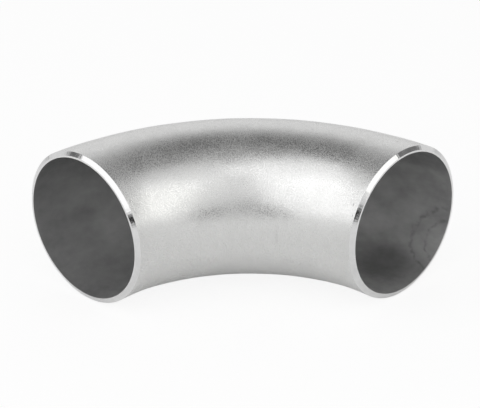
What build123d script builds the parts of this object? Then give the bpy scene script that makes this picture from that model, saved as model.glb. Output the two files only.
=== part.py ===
from build123d import *
import os
from math import degrees, radians, tan

# A long radius elbow for butt welding: one piece of stainless steel tube, pushed hot over
# a curved mandrel until it turns a corner, then sized at both ends and bevelled for the weld.
# Millimetres and degrees. The origin is the centre of the first weld end, which faces -Y.
# The bend lies flat, turns towards +X, and +Z is up out of the plane of the bend.

# Tube
end_outside_diameter = 108.0   # across each weld end, the same as the pipe it is welded to
wall = 4.0                     # thickness of the metal, the same all along the bend
draw_in = 0.65                 # how much smaller forming left the radius between the ends
sized_length = 36.0            # stretch at each end that is swelled back to the pipe's size

# Bend
bend_radius = 152.0            # from the centre of the bend to the centreline of the tube
bend_angle = 90.0              # turned between the two end faces

# Weld preparation
bevel_angle = 37.5             # slope of the bevel, measured from the end face
root_face = 1.3                # width of the flat ring left inside the bevel

# Each sized end is lofted through this many equal spans, enough to be true to a micron.
spans = 6

end_radius = end_outside_diameter / 2
bore_radius = end_radius - wall
sized_angle = degrees(sized_length / bend_radius)

bend_axis = Axis((bend_radius, 0, 0), (0, 0, -1))
centreline = CenterArc((bend_radius, 0), bend_radius, 180, -bend_angle)


def across_tube(angle, outwards=1):
    """Plane square to the centreline at an angle round the bend.

    Its x points down, so that the seam of whatever is drawn on it runs along the bottom.
    """
    fraction = angle / bend_angle
    return Plane(
        origin=centreline @ fraction,
        x_dir=(0, 0, -1),
        z_dir=(centreline % fraction) * outwards,
    )


def sized_end(face_angle, inner_angle, inset):
    """End stretch, which swells gently from the drawn-in radius to that of the pipe.

    The swelling starts and ends level, so it runs on smoothly from the middle of the bend.
    """
    sections = []
    for i in range(spans + 1):
        way_in = i / spans
        shrink = draw_in * way_in**2 * (3 - 2 * way_in)
        plane = across_tube(face_angle + (inner_angle - face_angle) * way_in)
        sections.append(plane * Circle(end_radius - shrink - inset))
    return loft(sections)


def bent_bar(inset=0.0):
    """Solid bar along the bend, whose skin lies inset from the outside of the tube."""
    first = sized_angle
    last = bend_angle - sized_angle
    section = across_tube(first) * Circle(end_radius - draw_in - inset)
    middle = revolve(section, bend_axis, last - first)
    return middle + sized_end(0, first, inset) + sized_end(bend_angle, last, inset)


def bevel_cutter(angle, outwards):
    """Ring of waste that the facing tool takes off outside the root face at one end.

    Its outline is drawn above the bore, which keeps its seam away from the tube's.
    """
    land_radius = bore_radius + root_face
    clear_radius = end_radius + wall
    depth = (clear_radius - land_radius) * tan(radians(bevel_angle))
    waste = Polygon(
        (-land_radius, 0),
        (-clear_radius, 0),
        (-clear_radius, -depth),
        align=None,
    )
    ring = revolve(Plane.XZ * waste, Axis.Z)
    return across_tube(angle, outwards) * ring


def make_elbow():
    tube = bent_bar() - bent_bar(inset=wall)
    return tube - bevel_cutter(0, outwards=-1) - bevel_cutter(bend_angle, outwards=1)


os.makedirs("parts", exist_ok=True)
elbow = make_elbow()
export_step(elbow, "parts/elbow.step")

box = elbow.bounding_box()
print(f"elbow: {elbow.volume / 1000:.1f} cm3, {len(elbow.solids())} solid")
print(f"  lowest corner  {box.min.X:8.2f} {box.min.Y:8.2f} {box.min.Z:8.2f}")
print(f"  highest corner {box.max.X:8.2f} {box.max.Y:8.2f} {box.max.Z:8.2f}")
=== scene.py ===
# %% [markdown]
# A long radius elbow of satin stainless steel
#
# The object is a quarter turn of tube, made to be welded between two pipes. It lies flat
# on a white table, seen from the inside of the bend, so both machined ends face the camera.
# The lesson builds the tube as one clean quad mesh, gives each of its four surfaces its own
# finish, and lights it as a product photographer would, with large softboxes.

from math import asin, atan2, cos, hypot, pi, radians, sin, tan

import bmesh
import bpy
from mathutils import Matrix, Vector, noise


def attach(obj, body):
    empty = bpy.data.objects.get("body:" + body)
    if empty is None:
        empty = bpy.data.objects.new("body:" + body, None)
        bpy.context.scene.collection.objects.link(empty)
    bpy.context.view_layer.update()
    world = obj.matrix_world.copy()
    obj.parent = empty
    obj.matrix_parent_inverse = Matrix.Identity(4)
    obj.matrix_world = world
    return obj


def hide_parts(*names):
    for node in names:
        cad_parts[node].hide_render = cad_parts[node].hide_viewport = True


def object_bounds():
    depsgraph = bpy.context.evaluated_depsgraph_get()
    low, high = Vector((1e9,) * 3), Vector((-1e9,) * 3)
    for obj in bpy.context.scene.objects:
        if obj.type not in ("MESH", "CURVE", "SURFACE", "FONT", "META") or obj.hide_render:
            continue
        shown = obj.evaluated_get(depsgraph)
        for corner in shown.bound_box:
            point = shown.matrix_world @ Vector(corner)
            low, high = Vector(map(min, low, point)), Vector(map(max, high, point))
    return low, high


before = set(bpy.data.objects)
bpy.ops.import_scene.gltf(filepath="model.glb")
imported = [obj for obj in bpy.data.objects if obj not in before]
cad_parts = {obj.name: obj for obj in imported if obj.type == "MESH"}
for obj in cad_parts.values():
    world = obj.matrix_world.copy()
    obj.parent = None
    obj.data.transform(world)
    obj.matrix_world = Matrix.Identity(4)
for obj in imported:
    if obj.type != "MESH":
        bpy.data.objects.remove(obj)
cad_low, cad_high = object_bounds()
print("the elbow's box in metres:", [round(v, 4) for v in (*cad_low, *cad_high)])

# %% [markdown]
# Sizes
#
# The frame's origin is the centre of the first weld end, which faces -Y. The bend turns
# towards +X, and the second weld end faces +X. The box gives the bend radius, because its
# far side is the second weld end. The rest are the sizes of the pipe that the elbow meets,
# in metres. Between its ends the tube is a little slimmer than the pipe: forming drew it
# in, and the ends were swelled back to size.

# %% Sizes of the tube
bend_radius = cad_high.x
end_radius = 0.054
wall = 0.004
draw_in = 0.00065
sized_length = 0.036
root_face = 0.0013
bevel_angle = radians(37.5)

bore_radius = end_radius - wall
land_radius = bore_radius + root_face
bevel_depth = (end_radius - land_radius) * tan(bevel_angle)
quarter_turn = pi / 2
bend_centre = Vector((bend_radius, 0, 0))
table_height = cad_low.z
print(f"bend radius {bend_radius * 1000:.1f} mm, bevel {bevel_depth * 1000:.2f} mm deep")

# %% [markdown]
# Camera
#
# The photograph was taken from well back with a long lens, looking down at about 27
# degrees, nearly along the line that halves the bend. The camera is placed by those angles
# round a point near the middle of the tube, so its whole position reads at a glance.

# %% Camera
view_azimuth = radians(44.265)
view_elevation = radians(26.909)
camera_roll = radians(-0.593)
camera_distance = 1.4312
aim = Vector((0.0517, 0.0974, 0))
lens = 157.53


def direction(azimuth, elevation):
    """Unit vector from the elbow outwards. Azimuth 0 is -Y, and 90 degrees is +X."""
    level = cos(elevation)
    return Vector((sin(azimuth) * level, -cos(azimuth) * level, sin(elevation)))


def place_camera():
    outwards = direction(view_azimuth, view_elevation)
    data = bpy.data.cameras.new("camera")
    data.lens = lens
    camera = bpy.data.objects.new("camera", data)
    bpy.context.scene.collection.objects.link(camera)
    roll = Matrix.Rotation(camera_roll, 3, "Z").to_quaternion()
    camera.rotation_mode = "QUATERNION"
    camera.rotation_quaternion = (-outwards).to_track_quat("-Z", "Y") @ roll
    camera.location = aim + outwards * camera_distance
    bpy.context.scene.camera = camera
    return camera


camera = place_camera()
print("camera at", [round(v, 3) for v in camera.location])

# %% [markdown]
# Spinning the tube
#
# The real elbow starts as a straight tube that is pushed over a curved mandrel. The mesh is
# made in much the same way: a circle for the skin and one for the bore are spun round the
# centre of the bend. Spinning keeps the faces in neat rows round the tube and along it, and
# the bevels and the finish both rely on those rows.

# %% Spin the skin and the bore
around = 192
along = 150
skin_finish, bevel_finish, land_finish, bore_finish = range(4)


def edges_between(mesh, vertices):
    """The edges that have both ends among the vertices, in the mesh's own order."""
    pool = set(vertices)
    return [edge for edge in mesh.edges if edge.verts[0] in pool and edge.verts[1] in pool]


def spin_tube(mesh, radius, finish):
    """Spins a circle at the first mouth through the bend. Returns all its vertices."""
    before = set(mesh.verts)
    upright = Matrix.Rotation(radians(90), 4, "X")
    circle = bmesh.ops.create_circle(mesh, segments=around, radius=radius, matrix=upright)["verts"]
    bmesh.ops.spin(
        mesh,
        geom=circle + edges_between(mesh, circle),
        cent=bend_centre,
        axis=(0, 0, -1),
        angle=quarter_turn,
        steps=along,
    )
    made = [vertex for vertex in mesh.verts if vertex not in before]
    for face in {face for vertex in made for face in vertex.link_faces}:
        face.material_index = finish
    return made


tube = bmesh.new()
skin = spin_tube(tube, end_radius, skin_finish)
bore = spin_tube(tube, bore_radius, bore_finish)
print(len(skin), "vertices in the skin and", len(bore), "in the bore")

# %% [markdown]
# Drawing the tube in
#
# So far both surfaces have one radius from end to end. A point on the tube is best told by
# three numbers: its angle round the bend, its height, and how far it lies outside the
# centreline. With those, drawing in is one scaling of each ring towards its own centre. The
# skin is also slid along the tube, to end where the bevel will start. A ring there lies
# parallel to the weld end, and further in the rings turn square to the tube again.
#
# Hot formed tube is never quite true. The skin gets swells of a few hundredths of a
# millimetre, too low to feel and just enough to bend the edge of a highlight.

# %% Draw in the middle and make room for the bevels
swell_size = 0.024
swell_depth = 0.00009


def bend_place(point):
    """Angle round the bend, distance outside the centreline, and height of a point."""
    spoke = point - bend_centre
    return atan2(spoke.y, -spoke.x), hypot(spoke.x, spoke.y) - bend_radius, spoke.z


def from_bend_place(angle, outside, height):
    reach = bend_radius + outside
    return bend_centre + Vector((-cos(angle) * reach, sin(angle) * reach, height))


def slimness(angle):
    """How much smaller the radius is at an angle round the bend than at the weld ends."""
    from_end = min(angle, quarter_turn - angle) * bend_radius
    way_in = min(max(from_end / sized_length, 0), 1)
    return draw_in * way_in**2 * (3 - 2 * way_in)


def unevenness(angle, outside, height):
    """How much too high hot forming left a point of the skin. It is nothing at the ends."""
    spot = Vector((angle * bend_radius, outside, height)) / swell_size
    return swell_depth * noise.noise(spot) * slimness(angle) / draw_in


def shape_ring(vertices, end_gap=0.0, uneven=False):
    """Slides vertices to end a gap short of each mouth, and draws each ring in."""
    for vertex in vertices:
        angle, outside, height = bend_place(vertex.co)
        short = asin(end_gap / (bend_radius + outside))
        angle = short + angle * (quarter_turn - 2 * short) / quarter_turn
        radius = hypot(outside, height)
        shrink = (radius - slimness(angle)) / radius
        if uneven:
            shrink += unevenness(angle, outside, height) / radius
        vertex.co = from_bend_place(angle, outside * shrink, height * shrink)


shape_ring(skin, bevel_depth, uneven=True)
shape_ring(bore)
middle_slimness = slimness(quarter_turn / 2)
print(f"in the middle the radius is {middle_slimness * 1000:.2f} mm smaller than at the ends")

# %% [markdown]
# Weld ends
#
# Each end is faced on a lathe-like machine: a flat ring, the root face, is left round the
# bore, and outside it the wall is cut back at 37.5 degrees to make room for the weld. The
# loop that ends the skin is extruded and cast to the rim of the root face, which makes the
# bevel. Extruding it once more to the bore makes the root face, and there it is welded on.
# Two short distances go with this: how near the plane of a mouth its loop lies, and how
# near each other two vertices are to become one.

# %% Bevels and root faces
mouth_reach = end_radius / 2
weld_reach = wall / 20


def open_loop(mesh, vertices, mouth, facing):
    """The edges where the surface of the vertices ends in the open, at one mouth."""
    rim = [vertex for vertex in vertices if vertex.is_boundary]
    near = [vertex for vertex in rim if abs((vertex.co - mouth).dot(facing)) < mouth_reach]
    return edges_between(mesh, near)


def cast_to_circle(vertices, mouth, facing, radius):
    """Moves vertices onto a circle in the plane of the mouth."""
    for vertex in vertices:
        spoke = vertex.co - mouth
        spoke -= facing * spoke.dot(facing)
        vertex.co = mouth + spoke.normalized() * radius


def extrude_to_circle(mesh, loop, mouth, facing, radius, finish):
    """Extrudes a loop of edges to a circle in the mouth's plane. Returns the circle's vertices."""
    made = bmesh.ops.extrude_edge_only(mesh, edges=loop)["geom"]
    rim = [item for item in made if isinstance(item, bmesh.types.BMVert)]
    cast_to_circle(rim, mouth, facing, radius)
    for item in made:
        if isinstance(item, bmesh.types.BMFace):
            item.material_index = finish
    return rim


def finish_end(mesh, mouth, facing):
    """Makes the bevel and the root face of one end. Returns the vertices at the bore."""
    skin_loop = open_loop(mesh, skin, mouth, facing)
    land_rim = extrude_to_circle(mesh, skin_loop, mouth, facing, land_radius, bevel_finish)
    land_loop = edges_between(mesh, land_rim)
    return extrude_to_circle(mesh, land_loop, mouth, facing, bore_radius, land_finish)


mouths = (
    (Vector((0, 0, 0)), Vector((0, -1, 0))),
    (Vector((bend_radius, bend_radius, 0)), Vector((1, 0, 0))),
)
inner_rims = [vertex for mouth, facing in mouths for vertex in finish_end(tube, mouth, facing)]
bmesh.ops.remove_doubles(tube, verts=inner_rims + bore, dist=weld_reach)
bmesh.ops.recalc_face_normals(tube, faces=tube.faces)
print("open edges left:", sum(edge.is_boundary for edge in tube.edges))

# %% [markdown]
# A cutting tool never leaves a perfect edge: the burr is knocked off with a file, and the
# edge catches the light as a thin bright line. The bevel operator rounds the three rims of
# each end. They are the only places where faces meet at more than 20 degrees.

# %% Break the edges
edge_break = 0.00012
crease = radians(20)
rims = [edge for edge in tube.edges if edge.calc_face_angle(0) > crease]
bmesh.ops.bevel(
    tube,
    geom=rims,
    offset=edge_break,
    affect="EDGES",
    segments=2,
    profile=0.5,
    material=-1,
)
metal = tube.calc_volume(signed=True) * 1e6
print(f"{len(rims)} rim edges rounded; {metal:.1f} cm3 of metal")

# %% [markdown]
# A pattern space for the finish
#
# The marks on the metal follow the tube and not the room: streaks run along it and tool
# marks run round its ends. So each vertex gets a second position, its place in the tube
# before it was bent, kept in an attribute that the materials can read. In that space the
# first number runs along the tube and the other two across it.

# %% Mark each point's place in the straight tube
unbent = tube.verts.layers.float_vector.new("unbent")
for vertex in tube.verts:
    angle, outside, height = bend_place(vertex.co)
    vertex[unbent] = Vector((angle * bend_radius, outside, height))

elbow_mesh = bpy.data.meshes.new("elbow_tube")
for face in tube.faces:
    face.smooth = True
tube.to_mesh(elbow_mesh)
tube.free()
elbow = bpy.data.objects.new("elbow_tube", elbow_mesh)
bpy.context.scene.collection.objects.link(elbow)
weighted = elbow.modifiers.new("even shading", "WEIGHTED_NORMAL")
weighted.mode = "FACE_AREA"
print(len(elbow_mesh.polygons), "faces")

# %% [markdown]
# Finishes
#
# All four surfaces are the same steel. What differs is what was done to them last: the skin
# was blasted with fine beads, the bevels and root faces were turned, and the bore was left
# dull from forming. A material is a tree of nodes, and four small helpers keep the trees
# short: one adds a node with its settings, one links two sockets, one starts a plain steel,
# and one reads each point's place in the straight tube.

# %% Helpers for nodes


def add(tree, kind, settings=None, **inputs):
    """A shader node with its settings and the values of its unlinked inputs."""
    made = tree.nodes.new("ShaderNode" + kind)
    for name, value in (settings or {}).items():
        setattr(made, name, value)
    for name, value in inputs.items():
        made.inputs[name.replace("_", " ")].default_value = value
    return made


def link(tree, source, output, target, target_input):
    tree.links.new(source.outputs[output], target.inputs[target_input])


def new_steel(name, colour, roughness):
    """A steel with one colour and roughness, ready for a pattern to be added."""
    material = bpy.data.materials.new(name)
    material.use_nodes = True
    shader = material.node_tree.nodes["Principled BSDF"]
    shader.inputs["Metallic"].default_value = 1
    shader.inputs["Base Color"].default_value = (*colour, 1)
    shader.inputs["Roughness"].default_value = roughness
    return material, material.node_tree, shader


def straight_place(tree):
    return add(tree, "Attribute", {"attribute_name": "unbent"})


# %% [markdown]
# The marks of blasting, turning and forming are all patterns of noise, and what counts is
# their size. These helpers make noise of a size in metres, turn the middle of its range
# into a range of roughness or shade, multiply two patterns, let a pattern shade a colour,
# and stack patterns as bumps. The Mix node keeps its sockets for colours behind those for
# plain numbers and vectors, which have the same names, so they are told by their order.

# %% Helpers for patterns
colour_a, colour_b, mixed_colour = 6, 7, 2


def noise_at(tree, place, output, size, detail=2.0, roughness=0.5, stretch=(1, 1, 1)):
    """Noise with features of a size in metres, longer along an axis by its stretch."""
    mapping = add(tree, "Mapping")
    mapping.inputs["Scale"].default_value = [1 / (size * longer) for longer in stretch]
    noise_node = add(tree, "TexNoise", Scale=1.0, Detail=detail, Roughness=roughness)
    link(tree, place, output, mapping, "Vector")
    link(tree, mapping, 0, noise_node, "Vector")
    return noise_node


def spread(tree, source, low, high, ends=(0.3, 0.7)):
    """Turns a pattern's middle range into a range of another value."""
    scaled = add(tree, "MapRange", From_Min=ends[0], From_Max=ends[1], To_Min=low, To_Max=high)
    link(tree, source, 0, scaled, "Value")
    return scaled


def times(tree, first, second):
    product = add(tree, "Math", {"operation": "MULTIPLY"})
    link(tree, first, 0, product, 0)
    link(tree, second, 0, product, 1)
    return product


def shade_colour(tree, shader, colour, shade):
    """Gives a shader a colour that a pattern makes lighter and darker."""
    shaded = add(tree, "Mix", {"data_type": "RGBA", "blend_type": "MULTIPLY"})
    shaded.inputs["Factor"].default_value = 1.0
    shaded.inputs[colour_a].default_value = (*colour, 1)
    link(tree, shade, 0, shaded, colour_b)
    link(tree, shaded, mixed_colour, shader, "Base Color")


def relief(tree, shader, layers):
    """Stacks bumps on a shader. Each layer is a pattern and its depth in metres."""
    below = None
    for pattern, depth in layers:
        bump = add(tree, "Bump", Strength=1.0, Distance=depth)
        link(tree, pattern, 0, bump, "Height")
        if below:
            link(tree, below, "Normal", bump, "Normal")
        below = bump
    link(tree, below, "Normal", shader, "Normal")


# %% [markdown]
# Some marks are single: a rub here, a speck there. Each is a soft spot in the straight
# tube's space, told in millimetres by its middle and its half lengths along the tube and
# across it, and by its strength. The distance from its middle, counted in those half
# lengths, leaves the mark whole in its core and fades it out towards its edge. In the bore
# the same soft spots hold painted shade.

# %% A helper for single marks
spot_core = 0.2


def in_metres(millimetres):
    return [length / 1000 for length in millimetres]


def spots_of_marks_and_shade(tree, place, spots):
    """A factor that is 1 on clean metal and darker by its strength inside each spot."""
    clean = None
    for middle, half_lengths, strength in spots:
        offset = add(tree, "VectorMath", {"operation": "SUBTRACT"})
        offset.inputs[1].default_value = in_metres(middle)
        in_halves = add(tree, "VectorMath", {"operation": "DIVIDE"})
        in_halves.inputs[1].default_value = in_metres(half_lengths)
        away = add(tree, "VectorMath", {"operation": "LENGTH"})
        fade = add(tree, "MapRange", {"interpolation_type": "SMOOTHSTEP"}, From_Min=spot_core)
        fade.inputs["To Min"].default_value = 1 - strength
        link(tree, place, "Vector", offset, 0)
        link(tree, offset, 0, in_halves, 0)
        link(tree, in_halves, 0, away, 0)
        link(tree, away, "Value", fade, "Value")
        clean = times(tree, clean, fade) if clean else fade
    return clean


# %% [markdown]
# The beads leave a skin of tiny dents, each about a millimetre across, and from arm's length
# they show as a fine grain where a highlight fades into shadow. Noise of that size drives
# a bump. The dents also differ in how rough they are, so noise of the same size speckles the
# roughness, and that is what the grain in the dark band is made of. Broad faint clouds make
# a second bump, for the slight unevenness of hot formed tube, and shift the roughness a
# little too. Stains shade the steel by a percent or two. A few rubs and specks are placed
# where the photograph shows them, and end the finish.

# %% Blasted skin
skin_grey = 0.668
skin_blue_share = 0.992
skin_roughness = 0.265
dent_size = 0.0007
dent_depth = 0.00008
speck_size = 0.0007
speck_range = (0.6, 1.75)
cloud_size = 0.014
cloud_depth = 0.0002
cloud_roughness = 0.03
stain_size = 0.009
stain_range = (0.982, 1.014)
skin_spots = (
    ((121.8, -53.0, 6.0), (3.0, 4.0, 3.0), 0.05),
    ((152.8, -53.2, -2.0), (2.0, 4.0, 11.0), 0.07),
    ((230.2, -45.5, 28.9), (1.0, 1.5, 1.6), 0.45),
    ((233.0, -48.9, 22.9), (0.9, 1.2, 1.5), 0.35),
    ((225.1, 8.1, 53.2), (1.1, 1.1, 2.0), 0.3),
    ((59.8, -10.7, 52.3), (1.6, 1.0, 2.0), 0.25),
    ((171.9, -5.6, 53.1), (1.5, 1.0, 2.0), 0.15),
)


def blasted_skin():
    material, tree, shader = new_steel("blasted_skin", (skin_grey,) * 3, skin_roughness)
    place = add(tree, "TexCoord")
    straight = straight_place(tree)
    dents = noise_at(tree, place, "Object", dent_size, detail=1.5, roughness=0.6)
    specks = noise_at(tree, place, "Object", speck_size, detail=1.0)
    cloud = noise_at(tree, place, "Object", cloud_size)
    relief(tree, shader, ((cloud, cloud_depth), (dents, dent_depth)))
    stain = noise_at(tree, straight, "Vector", stain_size, detail=4.0, roughness=0.55)
    shade = times(tree, spread(tree, stain, *stain_range), spots_of_marks_and_shade(tree, straight, skin_spots))
    shade_colour(tree, shader, (skin_grey, skin_grey, skin_grey * skin_blue_share), shade)
    rough = spread(tree, cloud, skin_roughness - cloud_roughness, skin_roughness + cloud_roughness)
    speckled = times(tree, rough, spread(tree, specks, *speck_range))
    link(tree, speckled, 0, shader, "Roughness")
    return material


skin_steel = blasted_skin()
print(skin_steel.name, "has", len(skin_steel.node_tree.nodes), "nodes")

# %% [markdown]
# The facing tool leaves rings: fine grooves round the bore, one for each turn of the work.
# It also chatters, and that leaves low waves a few millimetres apart round the bevel, which
# break a reflection into blocks. Both patterns are told in the straight tube's space. The
# distance from the tube's axis gives the rings. The direction across the tube gives the
# chatter, which is the same all along the tube and so runs square across the bevel.

# %% A helper for places across the tube


def across_only(tree, straight):
    """The direction from the tube's axis, as a point on the root face's rim, and the distance."""
    flat = add(tree, "VectorMath", {"operation": "MULTIPLY"})
    flat.inputs[1].default_value = (0, 1, 1)
    spoke = add(tree, "VectorMath", {"operation": "NORMALIZE"})
    rim = add(tree, "VectorMath", {"operation": "SCALE"}, Scale=land_radius)
    reach = add(tree, "VectorMath", {"operation": "LENGTH"})
    link(tree, straight, "Vector", flat, 0)
    link(tree, flat, 0, spoke, 0)
    link(tree, spoke, 0, rim, 0)
    link(tree, flat, 0, reach, 0)
    return rim, reach


# %% [markdown]
# The bevel and the root face share one finish with different numbers. The bevel is smoother
# and its chatter is deeper, so it mirrors the studio sharply, in blocks. The root face is
# flatter and a little rougher, and it mirrors softly.

# %% Turned bevels and root faces
groove_pitch = 0.0005
chatter_pitch = 0.0018
wave_pitch = chatter_pitch * 5
wave_depth = 0.00012
blotch_size = 0.004
blotch_roughness = (-0.05, 0.08)
blotch_shade = (0.95, 1.03)


def turned_steel(name, brightness, roughness, chatter_depth, groove_depth):
    material, tree, shader = new_steel(name, (brightness,) * 3, roughness)
    straight = straight_place(tree)
    rim, reach = across_only(tree, straight)
    turns = add(tree, "Math", {"operation": "DIVIDE"})
    turns.inputs[1].default_value = groove_pitch
    grooves = add(tree, "TexNoise", {"noise_dimensions": "1D"}, Scale=1.0, Detail=1.0)
    link(tree, reach, "Value", turns, 0)
    link(tree, turns, 0, grooves, "W")
    chatter = noise_at(tree, rim, "Vector", chatter_pitch, detail=1.0)
    waves = noise_at(tree, rim, "Vector", wave_pitch, detail=1.0)
    relief(tree, shader, ((waves, wave_depth), (chatter, chatter_depth), (grooves, groove_depth)))
    blotch = noise_at(tree, straight, "Vector", blotch_size, detail=3.0)
    rough = spread(tree, blotch, *[roughness + change for change in blotch_roughness])
    shade = spread(tree, blotch, *[brightness * share for share in blotch_shade])
    link(tree, rough, 0, shader, "Roughness")
    link(tree, shade, 0, shader, "Base Color")
    return material


bevel_steel = turned_steel(
    "turned_bevel",
    brightness=0.69,
    roughness=0.1,
    chatter_depth=0.00005,
    groove_depth=0.00004,
)
land_steel = turned_steel(
    "turned_root_face",
    brightness=0.75,
    roughness=0.2,
    chatter_depth=0.00001,
    groove_depth=0.00002,
)
print(f"{bevel_steel.name} and {land_steel.name}: a wave every {wave_pitch * 1000:.0f} mm")

# %% [markdown]
# Nobody blasts or polishes the bore. It keeps the dull grey film of forming and pickling,
# blotched where the mandrel rubbed. Over the film the bore is given painted shade: it is
# lightest low on the sides and round the middle of the bend, and darker towards the top and
# both ends. Two ramps hold that painted shade, one along the tube and one over its height,
# each with evenly spaced stops.

# %% A helper for trends


def trend(tree, source, output, low, high, greys):
    """A factor that goes through evenly spaced greys as a length goes from low to high."""
    way = add(tree, "MapRange", From_Min=low, From_Max=high)
    ramp = add(tree, "ValToRGB")
    stops = ramp.color_ramp.elements
    while len(stops) < len(greys):
        stops.new(0.5)
    for i, grey in enumerate(greys):
        stops[i].position = i / (len(greys) - 1)
        stops[i].color = (grey, grey, grey, 1)
    link(tree, source, output, way, "Value")
    link(tree, way, 0, ramp, "Fac")
    return ramp


# %% [markdown]
# Two arcs near the second mouth are scuffs of the tool that sized the end. Each is part of
# a ring round one point on the wall, told by its radius, half its width and its strength.
# Smooth noise leads the ring astray a little, and finer noise lets it come and go.

# %% A helper for scuffs
scuff_middle = (246.0, 46.0, -33.0)
scuff_rings = ((19.0, 1.6, 0.3), (27.0, 2.0, 0.34))
scuff_wander = 0.9


def scuff(tree, straight, drift, flecks, radius, half_width, strength):
    """A factor that is 1 on clean metal and darker along a ring round the scuffs' middle."""
    offset = add(tree, "VectorMath", {"operation": "SUBTRACT"})
    offset.inputs[1].default_value = in_metres(scuff_middle)
    away = add(tree, "VectorMath", {"operation": "LENGTH"})
    wander = spread(tree, drift, *in_metres((radius - scuff_wander, radius + scuff_wander)))
    from_ring = add(tree, "Math", {"operation": "SUBTRACT"})
    gap = add(tree, "Math", {"operation": "ABSOLUTE"})
    line = add(tree, "Math", {"operation": "DIVIDE"})
    line.inputs[1].default_value = half_width / 1000
    depth = spread(tree, flecks, 1.0, 1 - strength)
    fade = add(tree, "MapRange", {"interpolation_type": "SMOOTHSTEP"})
    link(tree, straight, "Vector", offset, 0)
    link(tree, offset, 0, away, 0)
    link(tree, away, "Value", from_ring, 0)
    link(tree, wander, 0, from_ring, 1)
    link(tree, from_ring, 0, gap, 0)
    link(tree, gap, 0, line, 0)
    link(tree, line, 0, fade, "Value")
    link(tree, depth, 0, fade, "To Min")
    return fade


# %% [markdown]
# The bore's shade is the product of all its patterns: the blotched film, the rubs, a few
# broad spots of painted shade, the two ramps of painted shade and the scuffs.

# %% Light and dark in the bore
tube_length = quarter_turn * bend_radius
# Painted shade: the bore is darker towards both ends and towards the top.
painted_shade_along = (0.52, 0.66, 0.89, 0.96, 0.96, 0.96, 1.0, 0.8, 0.74)
painted_shade_upwards = (0.84, 1.02, 0.92, 0.93, 0.84, 0.63, 0.38)
film_range = (0.82, 1.16)
rub_range = (0.93, 1.07)
drift_size = 0.005
fleck_size = 0.003
# Broad spots of painted shade: darker patches where shade falls in the bore.
painted_shade_spots = (
    ((214.0, 18.0, -48.0), (36.0, 28.0, 19.0), 0.5),
    ((222.0, 45.0, 24.0), (22.0, 12.0, 8.0), 0.16),
    ((30.0, 46.0, -18.0), (13.0, 10.0, 9.0), 0.2),
    ((24.0, 30.0, 40.0), (18.0, 16.0, 10.0), 0.14),
)


def bore_marks_and_painted_shade(tree, straight, film, rubs):
    """A factor that holds the bore's film, rubs and scuffs, and its painted shade."""
    shade = times(tree, spread(tree, film, *film_range), spread(tree, rubs, *rub_range))
    shade = times(tree, shade, spots_of_marks_and_shade(tree, straight, painted_shade_spots))
    numbers = add(tree, "SeparateXYZ")
    link(tree, straight, "Vector", numbers, "Vector")
    shade = times(tree, shade, trend(tree, numbers, "X", 0.0, tube_length, painted_shade_along))
    shade = times(tree, shade, trend(tree, numbers, "Z", -bore_radius, bore_radius, painted_shade_upwards))
    drift = noise_at(tree, straight, "Vector", drift_size, detail=0.0)
    flecks = noise_at(tree, straight, "Vector", fleck_size, detail=3.0)
    for ring in scuff_rings:
        shade = times(tree, shade, scuff(tree, straight, drift, flecks, *ring))
    return shade


print(f"the bore is {tube_length * 1000:.0f} mm long, with {len(painted_shade_spots)} broad spots")

# %% [markdown]
# The film covers part of the metal's shine, so the bore is given half of a metal's mirror
# and half of a paint's soft light. The rubs and a fine grain are also low bumps.

# %% Dull bore
bore_grey = 0.53
bore_metal_share = 0.5
bore_roughness = 0.6
film_size = 0.022
film_roughness = 0.08
rub_size = 0.006
rub_stretch = (1.4, 1, 1)
rub_depth = 0.0001
grain_size = 0.0012
grain_depth = 0.00005


def dull_bore():
    material, tree, shader = new_steel("dull_bore", (bore_grey,) * 3, bore_roughness)
    shader.inputs["Metallic"].default_value = bore_metal_share
    straight = straight_place(tree)
    film = noise_at(tree, straight, "Vector", film_size, detail=3.0, roughness=0.6)
    rubs = noise_at(
        tree,
        straight,
        "Vector",
        rub_size,
        detail=4.0,
        roughness=0.65,
        stretch=rub_stretch,
    )
    grain = noise_at(tree, straight, "Vector", grain_size)
    shade_colour(tree, shader, (bore_grey,) * 3, bore_marks_and_painted_shade(tree, straight, film, rubs))
    relief(tree, shader, ((rubs, rub_depth), (grain, grain_depth)))
    rough = spread(tree, film, bore_roughness + film_roughness, bore_roughness - film_roughness)
    link(tree, rough, 0, shader, "Roughness")
    return material


bore_steel = dull_bore()
print(bore_steel.name, "has", len(bore_steel.node_tree.nodes), "nodes")

# %% [markdown]
# Each face of the mesh was given the number of its finish when it was made: skin, bevel,
# root face, bore. The mesh gets the four materials in that same order.

# %% Put the finishes on the mesh
for material in (skin_steel, bevel_steel, land_steel, bore_steel):
    elbow_mesh.materials.append(material)
print([material.name for material in elbow_mesh.materials])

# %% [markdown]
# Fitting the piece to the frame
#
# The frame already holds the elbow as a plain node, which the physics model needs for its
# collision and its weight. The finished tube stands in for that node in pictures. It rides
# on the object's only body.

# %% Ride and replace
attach(elbow, "root")
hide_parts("elbow")

# %% [markdown]
# Table
#
# The elbow lies on a table that is pure white in the photograph. Under the lamps alone a
# white paint comes out a little grey, and turning the lamps up until it is white would burn
# out the steel. So for the camera most of the paint is swapped for a plain white glow, and
# for what the steel reflects a small share of it. The rest is still paint, and it keeps the
# soft shadow under the tube and the dark line along its underside. The glow adds no soft
# light to anything, because diffuse rays don't see it.

# %% Table
table_size = 12.0
table_colour = (0.99, 0.99, 0.99, 1)
white_in_view = 0.88
white_in_steel = 0.06


def white_table():
    mesh = bmesh.new()
    middle = Matrix.Translation((aim.x, aim.y, table_height))
    bmesh.ops.create_grid(mesh, size=table_size / 2, matrix=middle)
    data = bpy.data.meshes.new("table")
    mesh.to_mesh(data)
    mesh.free()
    table = bpy.data.objects.new("table", data)
    bpy.context.scene.collection.objects.link(table)
    data.materials.append(white_paint())
    return table


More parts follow.
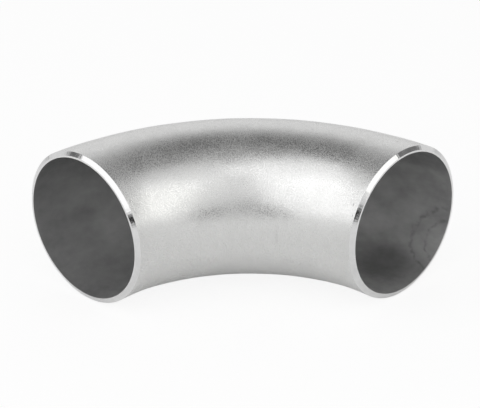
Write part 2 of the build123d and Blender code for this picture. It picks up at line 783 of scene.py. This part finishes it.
def white_paint():
    material = bpy.data.materials.new("white_table")
    material.use_nodes = True
    tree = material.node_tree
    tree.nodes.clear()
    paint = add(tree, "BsdfDiffuse", Color=table_colour)
    glow = add(tree, "Emission", Strength=1.0)
    path = add(tree, "LightPath")
    in_steel = add(tree, "Math", {"operation": "MULTIPLY"})
    in_steel.inputs[1].default_value = white_in_steel
    share = add(tree, "Math", {"operation": "MULTIPLY_ADD"})
    share.inputs[1].default_value = white_in_view
    mix = add(tree, "MixShader")
    out = add(tree, "OutputMaterial")
    link(tree, path, "Is Glossy Ray", in_steel, 0)
    link(tree, path, "Is Camera Ray", share, 0)
    link(tree, in_steel, 0, share, 2)
    link(tree, share, 0, mix, 0)
    link(tree, paint, 0, mix, 1)
    link(tree, glow, 0, mix, 2)
    link(tree, mix, 0, out, "Surface")
    return material


white_table()
print("table at height", round(table_height, 4))

# %% [markdown]
# Softboxes
#
# Polished metal is lit by large soft lamps, because it mirrors the lamp itself and a small
# one would show as a hard spot. Two softboxes stand low at the left and the right, and make
# the broad highlights on the sides of the tube. Two more hang above, and light the top up to
# where the dark band starts. An area lamp's power spreads over its size, so each lamp is
# given the brightness of its cloth instead, where 1 is as bright as white in the picture,
# and the power is worked out from that.

# %% Softboxes
softbox_distance = 1.5
pale_yellow = (1.0, 1.0, 0.95)


def softbox(name, azimuth, elevation, width, height, radiance, colour=(1, 1, 1)):
    """A rectangular lamp that faces the elbow. Azimuth is measured from the camera's."""
    data = bpy.data.lights.new(name, "AREA")
    data.shape = "RECTANGLE"
    data.size = width
    data.size_y = height
    data.energy = pi * width * height * radiance
    data.color = colour
    lamp = bpy.data.objects.new(name, data)
    bpy.context.scene.collection.objects.link(lamp)
    outwards = direction(view_azimuth + radians(azimuth), radians(elevation))
    lamp.location = aim + outwards * softbox_distance
    lamp.rotation_mode = "QUATERNION"
    lamp.rotation_quaternion = (-outwards).to_track_quat("-Z", "Y")
    print(f"{name}: {width} x {height} m, {data.energy:.2f} W")


softbox("left_softbox", azimuth=-54, elevation=27, width=2.0, height=1.15, radiance=0.59)
softbox(
    "right_softbox",
    azimuth=60,
    elevation=28,
    width=1.15,
    height=1.1,
    radiance=0.62,
    colour=pale_yellow,
)
softbox("top_left_softbox", azimuth=-52, elevation=63, width=1.45, height=0.95, radiance=1.02)
softbox("top_right_softbox", azimuth=52, elevation=59, width=1.25, height=0.85, radiance=0.57)

# %% [markdown]
# Walls of the studio
#
# Steel shows what stands round it, so the walls matter as much as the lamps. Behind the
# elbow they are bright up to 30 degrees and fade to black at 60, and that dark ceiling is
# the soft dark band along the top of the tube. On the camera's side they stay light up to
# 45 degrees and are dimmer above, most of all at 60. A ramp gives each side its greys from
# the horizon to the zenith. A ramp's stops run from 0 to 1, so they stand at the sine of
# each elevation, which is the height of that direction.

# %% Greys of the walls
wall_elevations = (0, 15, 30, 45, 60, 90)
back_wall = (0.925, 0.93, 1.04, 0.375, 0.0, 0.0)
front_wall = (0.94, 0.87, 0.92, 0.92, 0.45, 0.76)


def wall_ramp(tree, greys):
    """A ramp over the height of a direction, with a grey at each elevation."""
    ramp = add(tree, "ValToRGB")
    stops = ramp.color_ramp.elements
    while len(stops) < len(greys):
        stops.new(0.5)
    for stop, elevation, grey in zip(stops, wall_elevations, greys):
        stop.position = sin(radians(elevation))
        stop.color = (grey, grey, grey, 1)
    return ramp


print("walls at the horizon:", back_wall[0], "behind and", front_wall[0], "in front")

# %% [markdown]
# A few dark gaps are left: a dim one where the camera stands, a small dark one on each side
# of it, and one beyond each of the side softboxes. The bright bevels mirror them as short
# dark strokes, and the skin as one soft shade in its middle. A gap is given by its azimuth
# from the camera, its elevation, how many degrees it reaches, and its darkness. It is
# darkest in its core and fades out a little past its reach.

# %% Dark gaps
gap_core = 0.75
gap_edge = 1.15
dark_gaps = (
    (2, 3, 18, 0.4),
    (-22, 1, 9, 1.0),
    (26, 2, 9, 1.0),
    (-101, 22, 10, 0.8),
    (100, 23, 16, 0.78),
)


def dark_gap(tree, place, azimuth, elevation, reach, darkness):
    """A factor that is darker in a round patch of the studio and 1 outside it."""
    near = add(tree, "VectorMath", {"operation": "DOT_PRODUCT"})
    near.inputs[1].default_value = direction(view_azimuth + radians(azimuth), radians(elevation))
    edge = add(tree, "MapRange", {"interpolation_type": "SMOOTHSTEP"}, To_Min=1.0)
    edge.inputs["To Max"].default_value = 1 - darkness
    edge.inputs["From Min"].default_value = cos(radians(reach * gap_edge))
    edge.inputs["From Max"].default_value = cos(radians(reach * gap_core))
    link(tree, place, "Generated", near, 0)
    link(tree, near, "Value", edge, "Value")
    return edge


def all_gaps(tree, place):
    """The factors of all the gaps, multiplied."""
    light = dark_gap(tree, place, *dark_gaps[0])
    for gap in dark_gaps[1:]:
        light = times(tree, light, dark_gap(tree, place, *gap))
    return light


print(len(dark_gaps), "dark gaps")

# %% [markdown]
# The world joins it all. How far a direction points along the view blends the back wall
# into the front one, the gaps dim the light of both, and the camera alone sees plain white.

# %% World


def studio_walls():
    world = bpy.data.worlds.new("studio")
    bpy.context.scene.world = world
    world.use_nodes = True
    tree = world.node_tree
    tree.nodes.clear()
    place = add(tree, "TexCoord")
    split = add(tree, "SeparateXYZ")
    back = wall_ramp(tree, back_wall)
    front = wall_ramp(tree, front_wall)
    along_view = add(tree, "VectorMath", {"operation": "DOT_PRODUCT"})
    along_view.inputs[1].default_value = direction(view_azimuth, 0)
    half_way = add(tree, "Math", {"operation": "MULTIPLY_ADD"})
    half_way.inputs[1].default_value = 0.5
    half_way.inputs[2].default_value = 0.5
    blend = add(tree, "Mix", {"data_type": "RGBA"})
    walls = add(tree, "Background", Strength=1.0)
    white = add(tree, "Background", Color=(1, 1, 1, 1), Strength=1.0)
    path = add(tree, "LightPath")
    seen = add(tree, "MixShader")
    out = add(tree, "OutputWorld")
    link(tree, place, "Generated", split, "Vector")
    link(tree, split, "Z", back, "Fac")
    link(tree, split, "Z", front, "Fac")
    link(tree, place, "Generated", along_view, 0)
    link(tree, along_view, "Value", half_way, 0)
    link(tree, half_way, 0, blend, "Factor")
    link(tree, back, "Color", blend, colour_a)
    link(tree, front, "Color", blend, colour_b)
    link(tree, blend, mixed_colour, walls, "Color")
    link(tree, all_gaps(tree, place), 0, walls, "Strength")
    link(tree, path, "Is Camera Ray", seen, 0)
    link(tree, walls, 0, seen, 1)
    link(tree, white, 0, seen, 2)
    link(tree, seen, 0, out, "Surface")
    print("the world has", len(tree.nodes), "nodes")


studio_walls()
bpy.context.scene.view_settings.view_transform = "Standard"
